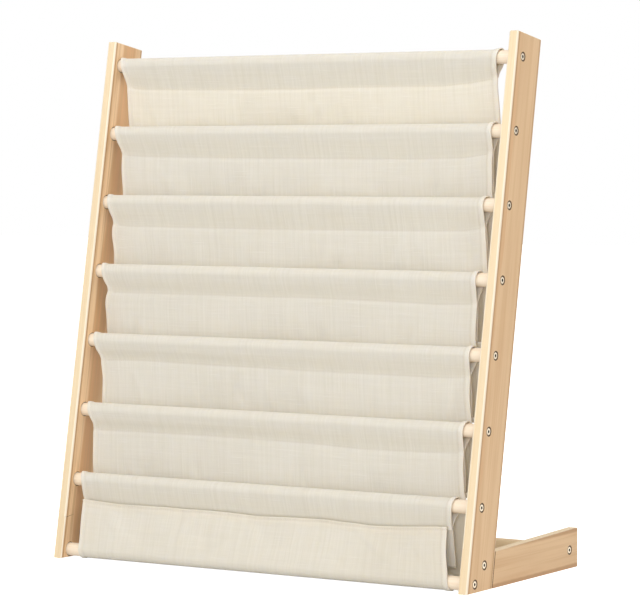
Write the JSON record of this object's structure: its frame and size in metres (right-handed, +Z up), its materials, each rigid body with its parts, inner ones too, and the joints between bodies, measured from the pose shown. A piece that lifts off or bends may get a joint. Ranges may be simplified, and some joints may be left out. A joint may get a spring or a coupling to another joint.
{
  "type": "sling bookshelf",
  "caption": "Low leaning bookshelf for children: two slanted pine side boards on base boards, joined by round dowels that carry a cloth sling folded into book pockets.",
  "frame": {"origin": "on the floor, under the middle of the bounding box", "axes": "+X to the object's left-right width, towards the right side seen from the front; +Y to the back; +Z up"},
  "size_m": [0.64, 0.3, 0.7],
  "materials": {
    "pine_board": "smooth sanded pale pine with a matt clear coat",
    "pine_dowel": "smooth turned pale pine",
    "linen_cloth": "cream plain-weave cloth with slubs",
    "screw_steel": "zinc-plated"
  },
  "bodies": {
    "root": {"left_post": "pine_board", "left_base_board": "pine_board", "right_post": "pine_board", "right_base_board": "pine_board", "dowel_1": "pine_dowel", "dowel_2": "pine_dowel", "dowel_3": "pine_dowel", "dowel_4": "pine_dowel", "dowel_5": "pine_dowel", "dowel_6": "pine_dowel", "dowel_7": "pine_dowel", "dowel_8": "pine_dowel", "rear_dowel": "pine_dowel", "left_screw_1": "screw_steel", "left_screw_2": "screw_steel", "left_screw_3": "screw_steel", "left_screw_4": "screw_steel", "left_screw_5": "screw_steel", "left_screw_6": "screw_steel", "left_screw_7": "screw_steel", "left_screw_8": "screw_steel", "left_lap_screw": "screw_steel", "left_rear_screw": "screw_steel", "right_screw_1": "screw_steel", "right_screw_2": "screw_steel", "right_screw_3": "screw_steel", "right_screw_4": "screw_steel", "right_screw_5": "screw_steel", "right_screw_6": "screw_steel", "right_screw_7": "screw_steel", "right_screw_8": "screw_steel", "right_lap_screw": "screw_steel", "right_rear_screw": "screw_steel", "sleeve_1": "linen_cloth", "sleeve_2": "linen_cloth", "sleeve_3": "linen_cloth", "sleeve_4": "linen_cloth", "sleeve_5": "linen_cloth", "sleeve_6": "linen_cloth", "sleeve_7": "linen_cloth", "pocket_1_back": "linen_cloth", "pocket_1_fold": "linen_cloth", "pocket_1_front": "linen_cloth", "pocket_2_back": "linen_cloth", "pocket_2_fold": "linen_cloth", "pocket_2_front": "linen_cloth", "pocket_3_back": "linen_cloth", "pocket_3_fold": "linen_cloth", "pocket_3_front": "linen_cloth", "pocket_4_back": "linen_cloth", "pocket_4_fold": "linen_cloth", "pocket_4_front": "linen_cloth", "pocket_5_back": "linen_cloth", "pocket_5_fold": "linen_cloth", "pocket_5_front": "linen_cloth", "pocket_6_back": "linen_cloth", "pocket_6_fold": "linen_cloth", "pocket_6_front": "linen_cloth", "front_panel": "linen_cloth"}
  },
  "joints": []
}
